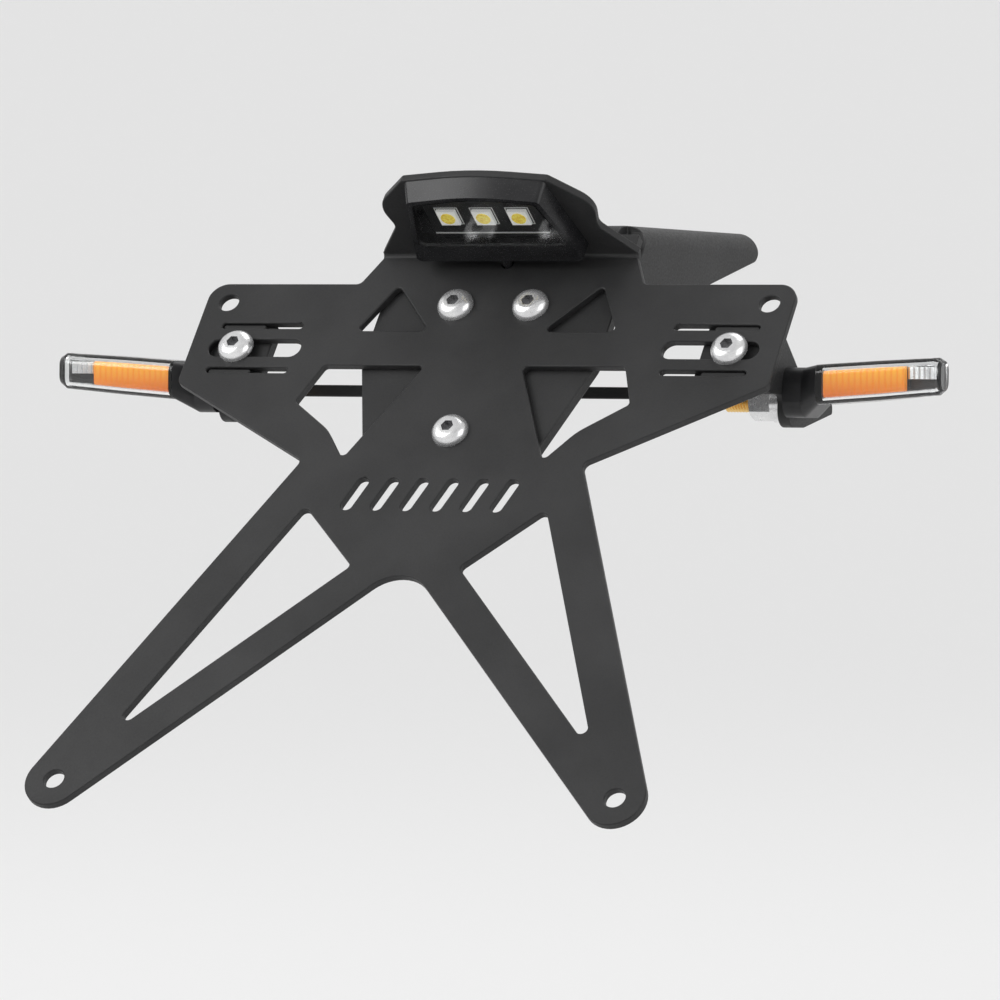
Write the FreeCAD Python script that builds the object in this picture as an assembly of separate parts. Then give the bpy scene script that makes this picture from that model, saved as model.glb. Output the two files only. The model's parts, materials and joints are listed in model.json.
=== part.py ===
# Licence plate bracket for a motorbike tail: a pierced sheet plate holder that leans back,
# a folded mounting bracket behind it, an indicator carrier, two indicators and a plate light.
# Millimetres. X to the right seen from behind, Y forward along the motorbike, Z up.
# The origin is the middle of the tail bolt pattern, on the upper face of the mounting flange.
# The plate holder has its own frame: x to the right, v up the sheet and n out of its rear face,
# with its zero at the middle of the upper pair of number plate holes.
import FreeCAD, Part
import math
import os

# Stance and sheet thicknesses
plate_lean = 38.0  # degrees that the plate holder leans from upright
plate_sheet = 2.0
bracket_sheet = 3.0
carrier_sheet = 3.0

# Number plate holes, one at each corner of a square
hole_square = 150.0
plate_hole = 5.3
tip_radius = 7.8  # rounded leg end about its hole

# Wings
wing_margin = 6.5  # outer edge beyond the hole
wing_top = 6.2
wing_top_round = 5.0
wing_side_v = -26.0
wing_low_round = 2.5
root_half = 38.4
root_v = -50.6
root_round = 2.0

# Wing slots
slot_margin = 5.5
slot_length = 26.0
slot_width = 5.6
slot_v = -14.8
slit_length = 23.0
slit_width = 1.8
slit_offset = 7.2  # slits above and below the slot
wing_screw_inset = 7.8  # from the outer end of the slot

# Legs
crotch_v = -81.5
crotch_round = 10.0
strut_outer = 11.0
strut_inner = 9.5
hub_reach = 40.0  # lower screw to the slanted upper edge of the leg window
leg_window_round = 1.5

# Windows of the hub
hub_window_round = 1.2
mid_window_top = -20.2
mid_window_inner = 13.4
mid_window_outer = 41.5
mid_window_side = 46.0
mid_window_side_v = -32.0
mid_window_waist = 34.2
mid_window_waist_v = -40.8
mid_window_waist_round = 14.0
mid_window_foot = 27.4
mid_window_foot_v = -50.0
upper_window_peak = 28.4
upper_window_peak_v = 5.8
upper_window_base_v = -9.1
upper_window_inner = 15.6
upper_window_outer = 36.0

# Row of slanted vents across the hub
vent_count = 6
vent_pitch = 8.2
vent_width = 3.2
vent_length = 10.5
vent_v = -61.0
vent_slant = 18.0  # degrees

# Upper tab and the roof that is folded from it
tab_foot_half = 39.5
tab_foot_round = 2.0
roof_back_half = 35.5
roof_neck_half = 28.0
roof_neck_reach = 11.5
roof_neck_round = 3.5
roof_bulge_half = 30.0
roof_bulge_reach = 20.0
roof_bulge_round = 10.0
roof_front_half = 20.0
roof_reach = 29.5  # corners of the front edge
roof_under_v = 15.5
roof_fold = 1.0  # inner radius
roof_corner = 1.5

# Screws, washers and nuts of the sheet joints (M5)
screw_d = 5.0
screw_head_d = 9.5
screw_head_h = 2.75
screw_socket = 3.0  # across flats
screw_socket_depth = 1.6
head_crown_share = 0.5  # flat crown of a head, of its radius
head_rim_share = 0.125  # straight rim of a head, of its height
head_bulge_across = 0.87  # point on the domed side of a head, of its radius
head_bulge_up = 0.68  # the same point, of its height
thread_chamfer_share = 0.1  # chamfer at the end of a thread, of its diameter
screw_tail = 2.6  # thread that shows beyond the nut
nut_flats = 8.0
nut_h = 4.7
washer_d = 10.0
washer_h = 1.0
hole_clear = 0.5
thread_clear = 0.1  # on the diameter, between a thread and its nut
washer_clear = 0.3
centre_screw_half = 10.4
centre_screw_v = -1.1
lower_screw_v = -41.3

# Mounting bracket
shield_half = 32.5
shield_taper_v = -18.0
shield_taper_round = 8.0
shield_foot_half = 22.5
shield_foot_v = -50.0
shield_foot_round = 6.0
bracket_bend_v = 24.0
bracket_fold = 3.0  # inner radius
flange_length = 74.0
bolt_setback = 39.0  # end of the bend to the middle of the bolt pattern
bolt_span_x = 40.0
bolt_span_y = 36.0
bolt_hole = 6.6
cheek_lip = 7.0  # height of the folded side at the front end
cheek_foot_v = -4.0
cheek_gap = 1.5  # relief between the folded side and the shield
cheek_round = 4.0

# Indicator carrier
strip_rear = 16.0  # rear edge of the cross strip, ahead of the plate holder's zero
strip_depth = 16.0
strip_drop = 22.4  # middle of the strip below the plate holder's zero
strip_fold = 2.0  # inner radius
strip_relief = 1.5
ear_clear = 8.0  # wing screw to the inner face of the ear
ear_fold = 1.5  # inner radius
ear_skirt = 6.2  # sheet below the stud
ear_half = 5.5  # sheet before and behind the stud
ear_lip = 1.4
ear_round = 5.0
ear_notch_round = 2.0
tab_reach = 8.4  # wing screw to the inner end of the tab
tab_half_height = 8.6
rib_width = 1.4
rib_length = 12.0
rib_height = 1.4

# Indicator studs with their nuts and washers (M5)
stud_forward = 8.0  # ahead of the plate holder's zero
stud_drop = 24.5
stud_d = 5.0
stud_bore = 2.6
stud_reach = 16.0  # inward from the ear
stud_root = 6.0  # inside the housing
stud_chamfer = 0.6
stud_hole_clear = 0.4
stud_nut_flats = 8.0
stud_nut_h = 6.0
stud_washer_d = 10.0
stud_washer_h = 2.4

# Indicators: a block on the ear, a shoulder, and a flat lamp that tapers outwards and rises
base_forward = 6.0
base_drop = 22.0
base_length = 4.9
base_depth = 15.0
base_height = 12.5
base_round = 4.0
shoulder_length = 5.0
lamp_forward = 2.0
lamp_drop = 20.0
lamp_length = 33.0
lamp_depth = 13.0
lamp_height = 10.0
lamp_tip_depth = 6.5
lamp_tip_height = 9.2
lamp_rise = 2.3  # tip above the root
lamp_round = 3.0
lamp_round_limit = 0.45  # largest corner radius, of the height
lamp_dome = 1.5  # length of the rounded tip
lamp_end_share = 0.8  # of the section, at the very end
back_shell = 4.5  # forward part of the lamp at its root, which belongs to the housing
back_shell_tip = 1.6
cover_wall = 1.4
amber_length = 21.5
amber_clear = 0.3
led_strip_inset = 3.0
led_strip_height = 4.4
led_strip_thick = 1.0
led_side = 3.0
led_height = 1.2
led_count = 3
led_gap = 0.3

# Plate light
light_height = 4.8
light_back = 3.5
light_back_half = 23.5
light_front = 29.0  # corners of the front face, under the roof
light_front_half = 19.4
light_draft = 2.4  # how far the front face is drawn in at the lens
light_side_draft = 1.2
light_bow = 2.4  # peak of the bowed front face, before rounding
light_bow_round = 200.0
light_round = 1.5
light_wall = 1.2
light_rim = 5.8  # solid bar behind the lens
light_ceiling = 1.0
light_ledge = 0.8
light_lens_thick = 1.2
light_lens_clear = 0.1
light_board_thick = 0.8
light_board_clear = 0.4
light_led_n = 18.6
light_led_side = 5.2
light_led_height = 0.9
light_led_eye = 3.8
light_led_eye_height = 0.2
light_led_pitch = 9.8
light_led_count = 3
light_screw_d = 3.0
light_screw_head_d = 5.6
light_screw_head_h = 1.7
light_screw_socket = 2.0
light_screw_socket_depth = 1.0
light_screw_half = 13.0
light_screw_n = 6.4
light_screw_grip = 3.6
outlet_d = 2.6
outlet_bore = 1.6
outlet_rise = 0.1  # bore above the lens
outlet_reach = 1.0  # beyond the back of the bracket
outlet_clear = 0.4

# Values that follow from the sizes above
half_square = hole_square / 2
wing_half = half_square + wing_margin
slot_outer = wing_half - slot_margin
wing_screw_x = slot_outer - wing_screw_inset
screw_hole = screw_d + hole_clear
outlet_hole = outlet_d + outlet_clear
turn = 90.0 - plate_lean
sin_lean = math.sin(math.radians(plate_lean))
cos_lean = math.cos(math.radians(plate_lean))
bend_outer = bracket_fold + bracket_sheet
bend_end_v = bracket_bend_v + bend_outer * cos_lean
bend_end_n = -plate_sheet - bend_outer + bend_outer * sin_lean
zero_y = bend_end_n * cos_lean - bend_end_v * sin_lean - bolt_setback
zero_z = -(bend_end_v * cos_lean + bend_end_n * sin_lean)
bracket_back = -plate_sheet - bracket_sheet
tab_back = -plate_sheet - carrier_sheet
ear_inner = wing_screw_x + ear_clear
ear_outer = ear_inner + carrier_sheet
stud_y = zero_y + stud_forward
stud_z = zero_z - stud_drop
lamp_x = ear_outer + base_length + shoulder_length
lamp_y = zero_y + lamp_forward
lamp_z = zero_z - lamp_drop
lamp_rear = lamp_y - lamp_depth / 2
lamp_split = lamp_rear + lamp_depth - back_shell
lamp_split_tip = lamp_rear + lamp_tip_depth - back_shell_tip
lamp_sweep = math.atan2(lamp_split_tip - lamp_split, lamp_length)
light_under = roof_under_v - light_height
light_lens_top = light_under + light_lens_thick
light_ceiling_v = roof_under_v - light_ceiling
light_low_front = light_front - light_draft
light_low_half = light_front_half - light_side_draft
outlet_v = light_lens_top + outlet_rise + outlet_bore / 2
centre_places = [(-centre_screw_half, centre_screw_v), (centre_screw_half, centre_screw_v), (0, lower_screw_v)]
wing_places = [(-wing_screw_x, slot_v), (wing_screw_x, slot_v)]
far = 400.0  # longer than the whole part


def vec(x, y, z=0.0):
    return FreeCAD.Vector(x, y, z)


def rounded_wire(corners):
    # Closed outline in the XY plane through corners (x, y, radius), each rounded by an arc.
    starts, mids, ends = [], [], []
    for i, (x, y, radius) in enumerate(corners):
        here = vec(x, y)
        before = vec(*corners[i - 1][:2]) - here
        after = vec(*corners[(i + 1) % len(corners)][:2]) - here
        half = before.getAngle(after) / 2
        reach = min(radius / math.tan(half), before.Length / 2, after.Length / 2)
        radius = reach * math.tan(half)
        before.normalize()
        after.normalize()
        inward = (before + after).normalize()
        starts.append(here + before * reach)
        mids.append(here + inward * (radius / math.sin(half) - radius))
        ends.append(here + after * reach)
    edges = []
    for i in range(len(corners)):
        following = starts[(i + 1) % len(corners)]
        if (ends[i] - starts[i]).Length > 1e-6:
            edges.append(Part.Arc(starts[i], mids[i], ends[i]).toShape())
        if (following - ends[i]).Length > 1e-6:
            edges.append(Part.LineSegment(ends[i], following).toShape())
    return Part.Wire(edges)


def prism_z(corners, low, high):
    # Outline in the XY plane, between two heights.
    face = Part.Face(rounded_wire(corners))
    face.translate(vec(0, 0, low))
    return face.extrude(vec(0, 0, high - low))


def prism_y(corners, low, high):
    # Outline in the XZ plane, between two places along Y.
    prism = prism_z(corners, -high, -low)
    prism.rotate(vec(0, 0), vec(1, 0), 90)
    return prism


def prism_x(corners, low, high):
    # Outline in the YZ plane, between two places along X.
    prism = prism_z(corners, low, high)
    prism.rotate(vec(0, 0), vec(1, 1, 1), 120)
    return prism


def box(x0, x1, y0, y1, z0, z1):
    return Part.makeBox(x1 - x0, y1 - y0, z1 - z0, vec(x0, y0, z0))


def drill(x, y, diameter, low, high):
    return Part.makeCylinder(diameter / 2, high - low, vec(x, y, low))


def slot(x0, x1, y, width, low, high):
    r = width / 2
    return prism_z([(x0, y - r, r), (x1, y - r, r), (x1, y + r, r), (x0, y + r, r)], low, high)


def with_mirror(corners):
    # The right half of an outline, from top to bottom, joined to its mirror image.
    return corners + [(-x, y, r) for x, y, r in reversed(corners) if x > 0]


def mirror(shape):
    return shape.mirror(vec(0, 0), vec(1, 0))


def both(shape):
    return [shape, mirror(shape)]


def fuse(shapes):
    return shapes[0].multiFuse(shapes[1:]).removeSplitter()


def on_plate(shape):
    # From the plate holder's frame into the frame of the part.
    placed = shape.copy()
    stance = FreeCAD.Placement(vec(0, zero_y, zero_z), FreeCAD.Rotation(vec(1, 0), turn))
    placed.Placement = stance.multiply(placed.Placement)
    return placed


def plate_point(v, n):
    # Y and Z of a point given in the plate holder's frame.
    return zero_y + v * sin_lean - n * cos_lean, zero_z + v * cos_lean + n * sin_lean


def touching(point, centre, radius, side):
    # Heading from a point to a circle, touching it on the given side.
    dx, dy = centre[0] - point[0], centre[1] - point[1]
    return math.atan2(dy, dx) + side * math.asin(radius / math.hypot(dx, dy))


def shifted(point, heading, offset):
    # Point moved to the left of a heading.
    return point[0] - offset * math.sin(heading), point[1] + offset * math.cos(heading)


def meet(p, heading_p, q, heading_q):
    # Crossing of two lines, each given by a point and a heading.
    ux, uy = math.cos(heading_p), math.sin(heading_p)
    wx, wy = math.cos(heading_q), math.sin(heading_q)
    along = ((q[0] - p[0]) * wy - (q[1] - p[1]) * wx) / (ux * wy - uy * wx)
    return p[0] + along * ux, p[1] + along * uy


def quarter_fold(cx, cy, radius, sheet, low, high):
    # Quarter of a folded sheet's bend about an axis along Z, in the quadrant of positive X and Y.
    outer = radius + sheet
    ring = drill(cx, cy, 2 * outer, low, high).cut(drill(cx, cy, 2 * radius, low, high))
    return ring.common(box(cx, cx + outer, cy, cy + outer, low, high))


root = (root_half, root_v)
crotch = (0, crotch_v)
leg_hole = (half_square, -hole_square)
outer_heading = touching(root, leg_hole, tip_radius, 1)
inner_heading = touching(crotch, leg_hole, tip_radius, -1)


def holder_outline():
    tip = meet(root, outer_heading, crotch, inner_heading)
    return with_mirror([
        (roof_back_half, roof_under_v - roof_fold, 0),
        (tab_foot_half, wing_top, tab_foot_round),
        (wing_half, wing_top, wing_top_round),
        (wing_half, wing_side_v, wing_low_round),
        (root_half, root_v, root_round),
        (tip[0], tip[1], tip_radius),
        (0, crotch_v, crotch_round),
    ])


def leg_window():
    outer_edge = shifted(root, outer_heading, -strut_outer)
    inner_edge = shifted(crotch, inner_heading, strut_inner)
    diagonal = math.radians(45)
    hub_edge = shifted((0, lower_screw_v), diagonal, -hub_reach)
    corners = [
        meet(outer_edge, outer_heading, hub_edge, diagonal),
        meet(outer_edge, outer_heading, inner_edge, inner_heading),
        meet(inner_edge, inner_heading, hub_edge, diagonal),
    ]
    return [(x, y, leg_window_round) for x, y in corners]


def mid_window():
    return [
        (mid_window_inner, mid_window_top, hub_window_round),
        (mid_window_outer, mid_window_top, hub_window_round),
        (mid_window_side, mid_window_side_v, hub_window_round),
        (mid_window_waist, mid_window_waist_v, mid_window_waist_round),
        (mid_window_foot, mid_window_foot_v, hub_window_round),
    ]


def upper_window():
    return [
        (upper_window_peak, upper_window_peak_v, hub_window_round),
        (upper_window_outer, upper_window_base_v, hub_window_round),
        (upper_window_inner, upper_window_base_v, hub_window_round),
    ]


def vents(low, high):
    row = []
    for i in range(vent_count):
        vent = slot(-vent_length / 2, vent_length / 2, 0, vent_width, low, high)
        vent.rotate(vec(0, 0), vec(0, 0, 1), 90 - vent_slant)
        vent.translate(vec((i - (vent_count - 1) / 2) * vent_pitch, vent_v))
        row.append(vent)
    return row


def plate_holder():
    low, high = -plate_sheet, 0
    sheet = prism_z(holder_outline(), low, high)
    fold_v = roof_under_v - roof_fold
    fold = quarter_fold(-roof_fold, fold_v, roof_fold, plate_sheet, -roof_back_half, roof_back_half)
    fold.rotate(vec(0, 0), vec(0, 1), 90)
    roof = prism_y(with_mirror([
        (0, roof_reach + light_bow, light_bow_round),
        (roof_front_half, roof_reach, roof_corner),
        (roof_bulge_half, roof_bulge_reach, roof_bulge_round),
        (roof_neck_half, roof_neck_reach, roof_neck_round),
        (roof_back_half, roof_fold, 0),
    ]), roof_under_v, roof_under_v + plate_sheet)
    cuts = vents(low, high)
    for outline in (leg_window(), mid_window(), upper_window()):
        cuts += both(prism_z(outline, low, high))
    slot_middle = slot_outer - slot_length / 2
    cuts += both(slot(slot_outer - slot_length, slot_outer, slot_v, slot_width, low, high))
    for v in (slot_v - slit_offset, slot_v + slit_offset):
        slit_ends = slot_middle - slit_length / 2, slot_middle + slit_length / 2
        cuts += both(slot(*slit_ends, v, slit_width, low, high))
    for v in (0, -hole_square):
        cuts += both(drill(half_square, v, plate_hole, low, high))
    cuts += [drill(x, v, screw_hole, low, high) for x, v in centre_places]
    cuts.append(drill(0, outlet_v, outlet_hole, low, high))
    light_screw_hole = (light_screw_d + hole_clear) / 2
    cuts += both(Part.makeCylinder(light_screw_hole, plate_sheet,
                                   vec(light_screw_half, roof_under_v, light_screw_n), vec(0, 1)))
    return on_plate(fuse([sheet, fold, roof]).cut(cuts))


def bracket_bend(half):
    # Sheet between the shield and the flange, bent about an axis along X.
    axis_n = -plate_sheet - bend_outer

    def at(radius, share):
        angle = math.radians(turn) * share
        return vec(-half, bracket_bend_v + radius * math.sin(angle), axis_n + radius * math.cos(angle))

    outside = Part.Arc(at(bend_outer, 0), at(bend_outer, 0.5), at(bend_outer, 1)).toShape()
    inside = Part.Arc(at(bracket_fold, 1), at(bracket_fold, 0.5), at(bracket_fold, 0)).toShape()
    front = Part.LineSegment(at(bend_outer, 1), at(bracket_fold, 1)).toShape()
    back = Part.LineSegment(at(bracket_fold, 0), at(bend_outer, 0)).toShape()
    return Part.Face(Part.Wire([outside, front, inside, back])).extrude(vec(2 * half, 0))


def mounting_bracket():
    neck_half = shield_half - bend_outer
    shield = prism_z(with_mirror([
        (shield_half, bracket_bend_v, 0),
        (shield_half, shield_taper_v, shield_taper_round),
        (shield_foot_half, shield_foot_v, shield_foot_round),
    ]), bracket_back, -plate_sheet)
    holes = [drill(x, v, screw_hole, bracket_back, -plate_sheet) for x, v in centre_places]
    holes.append(drill(0, outlet_v, outlet_hole, bracket_back, -plate_sheet))
    rear = on_plate(fuse([shield, bracket_bend(neck_half)]).cut(holes))
    # The flange is the web of a channel whose sides are trimmed to triangles.
    start = -bolt_setback
    channel_start = start + cheek_gap
    end = start + flange_length
    foot = plate_point(cheek_foot_v, bracket_back - cheek_gap)
    rear_line = bracket_back - cheek_gap
    rear_top = plate_point((channel_start - zero_y + rear_line * cos_lean) / sin_lean, rear_line)
    outside = prism_y([
        (-shield_half, 0, bend_outer),
        (shield_half, 0, bend_outer),
        (shield_half, -far, 0),
        (-shield_half, -far, 0),
    ], foot[0] - bracket_sheet, end)
    inner_half = shield_half - bracket_sheet
    inside = prism_y([
        (-inner_half, -bracket_sheet, bracket_fold),
        (inner_half, -bracket_sheet, bracket_fold),
        (inner_half, -far, 0),
        (-inner_half, -far, 0),
    ], foot[0] - bracket_sheet, end)
    side_view = prism_x([
        (channel_start, bracket_sheet, 0),
        (end, bracket_sheet, 0),
        (end, -cheek_lip, cheek_round),
        (foot[0], foot[1], cheek_round),
        (channel_start, rear_top[1], 0),
    ], -shield_half, shield_half)
    channel = outside.cut(inside).common(side_view)
    neck = box(-neck_half, neck_half, start, channel_start, -bracket_sheet, 0)
    bolts = []
    for x in (-bolt_span_x / 2, bolt_span_x / 2):
        for y in (-bolt_span_y / 2, bolt_span_y / 2):
            bolts.append(drill(x, y, bolt_hole, -bracket_sheet, 0))
    return fuse([rear, neck, channel]).cut(bolts)


def carrier_side():
    # Tab behind the right wing, its fold, the ear and the fold up to the cross strip.
    tab_low, tab_high = slot_v - tab_half_height, slot_v + tab_half_height
    tab_inner = wing_screw_x - tab_reach
    fold_x = ear_inner - ear_fold
    fold_n = tab_back - ear_fold
    tab = box(tab_inner, fold_x, tab_low, tab_high, tab_back, -plate_sheet)
    tab = tab.cut(drill(wing_screw_x, slot_v, screw_hole, tab_back, -plate_sheet))
    ribs = []
    for v in (slot_v - slit_offset, slot_v + slit_offset):
        start = wing_screw_x - rib_length / 2
        ribs.append(slot(start, start + rib_length, v, rib_width, -plate_sheet, rib_height - plate_sheet))
    fold = quarter_fold(fold_x, fold_n, ear_fold, carrier_sheet, -tab_high, -tab_low)
    fold.rotate(vec(0, 0), vec(1, 0), 90)
    strip_rear_y = zero_y + strip_rear
    strip_front_y = strip_rear_y + strip_depth
    strip_top = zero_z - strip_drop + carrier_sheet / 2
    bend_low = strip_top - strip_fold - carrier_sheet
    ear_rear = strip_rear_y - strip_relief
    tab_foot = plate_point(tab_low, fold_n)
    ear = prism_x([
        (*plate_point(tab_high, fold_n), 0),
        (ear_rear, strip_top, strip_relief),
        (ear_rear, bend_low, 0),
        (strip_front_y, bend_low, 0),
        (strip_front_y, bend_low - ear_lip, ear_round),
        (stud_y + ear_half, stud_z - ear_skirt, ear_round),
        (stud_y - ear_half, stud_z - ear_skirt, ear_round),
        (stud_y - ear_half, tab_foot[1], ear_notch_round),
        (*tab_foot, 0),
    ], ear_inner, ear_outer)
    ear = ear.cut(stud_tube(stud_d + stud_hole_clear, ear_inner, ear_outer))
    bend = quarter_fold(ear_inner - strip_fold, bend_low, strip_fold, carrier_sheet,
                        -strip_front_y, -strip_rear_y)
    bend.rotate(vec(0, 0), vec(1, 0), 90)
    return fuse([on_plate(fuse([tab, fold] + ribs)), ear, bend])


def indicator_carrier():
    half = ear_inner - strip_fold
    rear = zero_y + strip_rear
    top = zero_z - strip_drop + carrier_sheet / 2
    strip = box(-half, half, rear, rear + strip_depth, top - carrier_sheet, top)
    return fuse([strip] + both(carrier_side()))


def button_screw(diameter, head_d, head_h, socket, socket_depth, length):
    # Button-head screw that stands on Z, with the underside of its head at zero.
    r, head_r = diameter / 2, head_d / 2
    crown = head_r * head_crown_share
    chamfer = diameter * thread_chamfer_share
    rim = head_h * head_rim_share
    bulge = vec(head_r * head_bulge_across, 0, head_h * head_bulge_up)
    points = [
        vec(head_r, 0, rim), vec(head_r, 0, 0), vec(r, 0, 0), vec(r, 0, chamfer - length),
        vec(r - chamfer, 0, -length), vec(0, 0, -length), vec(0, 0, head_h), vec(crown, 0, head_h),
    ]
    edges = [Part.LineSegment(a, b).toShape() for a, b in zip(points, points[1:])]
    edges.append(Part.Arc(points[-1], bulge, points[0]).toShape())
    turned = Part.Face(Part.Wire(edges)).revolve(vec(0, 0), vec(0, 0, 1), 360)
    return turned.cut(hexagon(socket, head_h - socket_depth, head_h))


def hexagon(flats, low, high):
    r = flats / math.sqrt(3)
    corners = []
    for i in range(6):
        angle = math.radians(60 * i)
        corners.append((r * math.cos(angle), r * math.sin(angle), 0))
    return prism_z(corners, low, high)


def hex_nut(flats, height, bore):
    # Hexagon nut that stands on Z from zero, with both rims chamfered.
    corner_r = flats / math.sqrt(3)
    rim_r = flats / 2
    drop = (corner_r - rim_r) * math.tan(math.radians(30))
    profile = Part.makePolygon([
        vec(0, 0, 0), vec(rim_r, 0, 0), vec(corner_r, 0, drop),
        vec(corner_r, 0, height - drop), vec(rim_r, 0, height), vec(0, 0, height), vec(0, 0, 0),
    ])
    turned = Part.Face(profile).revolve(vec(0, 0), vec(0, 0, 1), 360)
    return hexagon(flats, 0, height).common(turned).cut(drill(0, 0, bore, 0, height))


def washer(diameter, height, bore):
    return drill(0, 0, diameter, 0, height).cut(drill(0, 0, bore, 0, height))


def group_on_plate(shape, places, n):
    copies = []
    for x, v in places:
        piece = shape.copy()
        piece.translate(vec(x, v, n))
        copies.append(on_plate(piece))
    return Part.makeCompound(copies)


def joint_hardware(name, places, back):
    # Screws from the front face, washers and nuts behind a stack that ends at the given depth.
    nut_face = back - washer_h
    length = nut_h + screw_tail - nut_face
    screw = button_screw(screw_d, screw_head_d, screw_head_h, screw_socket, screw_socket_depth, length)
    return {
        name + "_screws": group_on_plate(screw, places, 0),
        name + "_washers": group_on_plate(washer(washer_d, washer_h, screw_d + washer_clear), places, nut_face),
        name + "_nuts": group_on_plate(hex_nut(nut_flats, nut_h, screw_d + thread_clear), places,
                                       nut_face - nut_h),
    }


def light_outline(front, front_half):
    return with_mirror([
        (light_back_half, light_back, light_round),
        (front_half, front, light_round),
        (0, front + light_bow, light_bow_round),
    ])


def light_window(inset):
    # Outline inside the walls and ahead of the rear bar, drawn in by an even inset.
    back = light_back + light_rim
    share = light_rim / (light_low_front - light_back)
    back_half = light_back_half + (light_low_half - light_back_half) * share
    edge = light_wall + inset
    return with_mirror([
        (back_half - edge, back + inset, light_round),
        (light_low_half - edge, light_low_front - edge, light_round),
        (0, light_low_front + light_bow - edge, light_bow_round),
    ])


def wire_y(corners, y):
    # Outline in the XZ plane, for a loft along Y.
    wire = rounded_wire(corners)
    wire.translate(vec(0, 0, -y))
    wire.rotate(vec(0, 0), vec(1, 0), 90)
    return wire


def plate_light():
    shell = Part.makeLoft([
        wire_y(light_outline(light_low_front, light_low_half), light_under),
        wire_y(light_outline(light_front, light_front_half), roof_under_v),
    ], True, True)
    mouth = prism_y(light_window(0), light_under, light_lens_top)
    cavity = prism_y(light_window(light_ledge), light_lens_top, light_ceiling_v)
    pilots = both(Part.makeCylinder(light_screw_d / 2, light_screw_grip,
                                    vec(light_screw_half, roof_under_v, light_screw_n), vec(0, -1)))
    cavity_back = light_back + light_rim + light_ledge
    outlet_end = bracket_back - outlet_reach
    outlet = drill(0, outlet_v, outlet_d, outlet_end, light_back + light_wall)
    outlet_way = drill(0, outlet_v, outlet_bore, outlet_end, cavity_back + light_board_clear)
    housing = fuse([shell, outlet]).cut([mouth, cavity, outlet_way] + pilots)
    lens = prism_y(light_window(light_lens_clear), light_under, light_lens_top)
    board_edge = light_wall + light_ledge + light_board_clear
    board_half = light_low_half - board_edge
    board_under = light_ceiling_v - light_board_thick
    board = box(-board_half, board_half, board_under, light_ceiling_v,
                cavity_back + light_board_clear, light_low_front - board_edge)
    leds = []
    for i in range(light_led_count):
        x = (i - (light_led_count - 1) / 2) * light_led_pitch
        side = light_led_side / 2
        under = board_under - light_led_height
        chip = box(x - side, x + side, under, board_under, light_led_n - side, light_led_n + side)
        eye = Part.makeCylinder(light_led_eye / 2, light_led_eye_height + light_led_height / 2,
                                vec(x, under - light_led_eye_height, light_led_n), vec(0, 1))
        leds.append(on_plate(fuse([chip, eye])))
    length = plate_sheet + light_screw_grip - hole_clear
    screw = button_screw(light_screw_d - thread_clear, light_screw_head_d, light_screw_head_h,
                         light_screw_socket, light_screw_socket_depth, length)
    screw.rotate(vec(0, 0), vec(1, 0), -90)
    screw.translate(vec(light_screw_half, roof_under_v + plate_sheet, light_screw_n))
    return {
        "light_housing": on_plate(housing),
        "light_lens": on_plate(lens),
        "light_board": on_plate(board),
        "light_leds": Part.makeCompound(leds),
        "light_screws": Part.makeCompound([on_plate(piece) for piece in both(screw)]),
    }


def stud_tube(diameter, x0, x1):
    return Part.makeCylinder(diameter / 2, x1 - x0, vec(x0, stud_y, stud_z), vec(1, 0))


def section(x, y, z, depth, height, radius):
    # Rounded rectangle across X, for a loft.
    a, b = depth / 2, height / 2
    wire = rounded_wire([(y - a, z - b, radius), (y + a, z - b, radius),
                         (y + a, z + b, radius), (y - a, z + b, radius)])
    wire.rotate(vec(0, 0), vec(1, 1, 1), 120)
    wire.translate(vec(x, 0))
    return wire


def lamp_form(inset):
    # Rising lamp with a straight rear face, tapered from the front towards a rounded tip,
    # drawn in by an even inset.
    dome_start = lamp_length - lamp_dome
    stations = [(0, 1), (dome_start / 2, 1), (dome_start, 1), (lamp_length - inset, lamp_end_share)]
    wires = []
    for along, share in stations:
        t = along / lamp_length
        full_depth = lamp_depth + (lamp_tip_depth - lamp_depth) * t * t
        depth = share * full_depth - 2 * inset
        height = share * (lamp_height + (lamp_tip_height - lamp_height) * t * t) - 2 * inset
        radius = min(lamp_round * share - inset, lamp_round_limit * height)
        middle = lamp_rear + full_depth / 2
        wires.append(section(lamp_x + along, middle, lamp_z + lamp_rise * t, depth, height, radius))
    return Part.makeLoft(wires, True, True)


def behind_split(x0, x1, offset):
    # Everything behind the slanted face between the lamp's back shell and its cover, less an offset.
    y0 = lamp_split + (x0 - lamp_x) * math.tan(lamp_sweep) - offset
    y1 = lamp_split + (x1 - lamp_x) * math.tan(lamp_sweep) - offset
    return prism_z([(x0, -far, 0), (x1, -far, 0), (x1, y1, 0), (x0, y0, 0)], -far, far)


def along_split(shape):
    # Turned into the slanted face, and up within it, as the lamp rises towards its tip.
    foot = vec(lamp_x, lamp_split, lamp_z)
    shape.rotate(foot, vec(0, 0, 1), math.degrees(lamp_sweep))
    facing = vec(-math.sin(lamp_sweep), math.cos(lamp_sweep))
    shape.rotate(foot, facing, -math.degrees(math.atan(lamp_rise / lamp_length)))
    return shape


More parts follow.
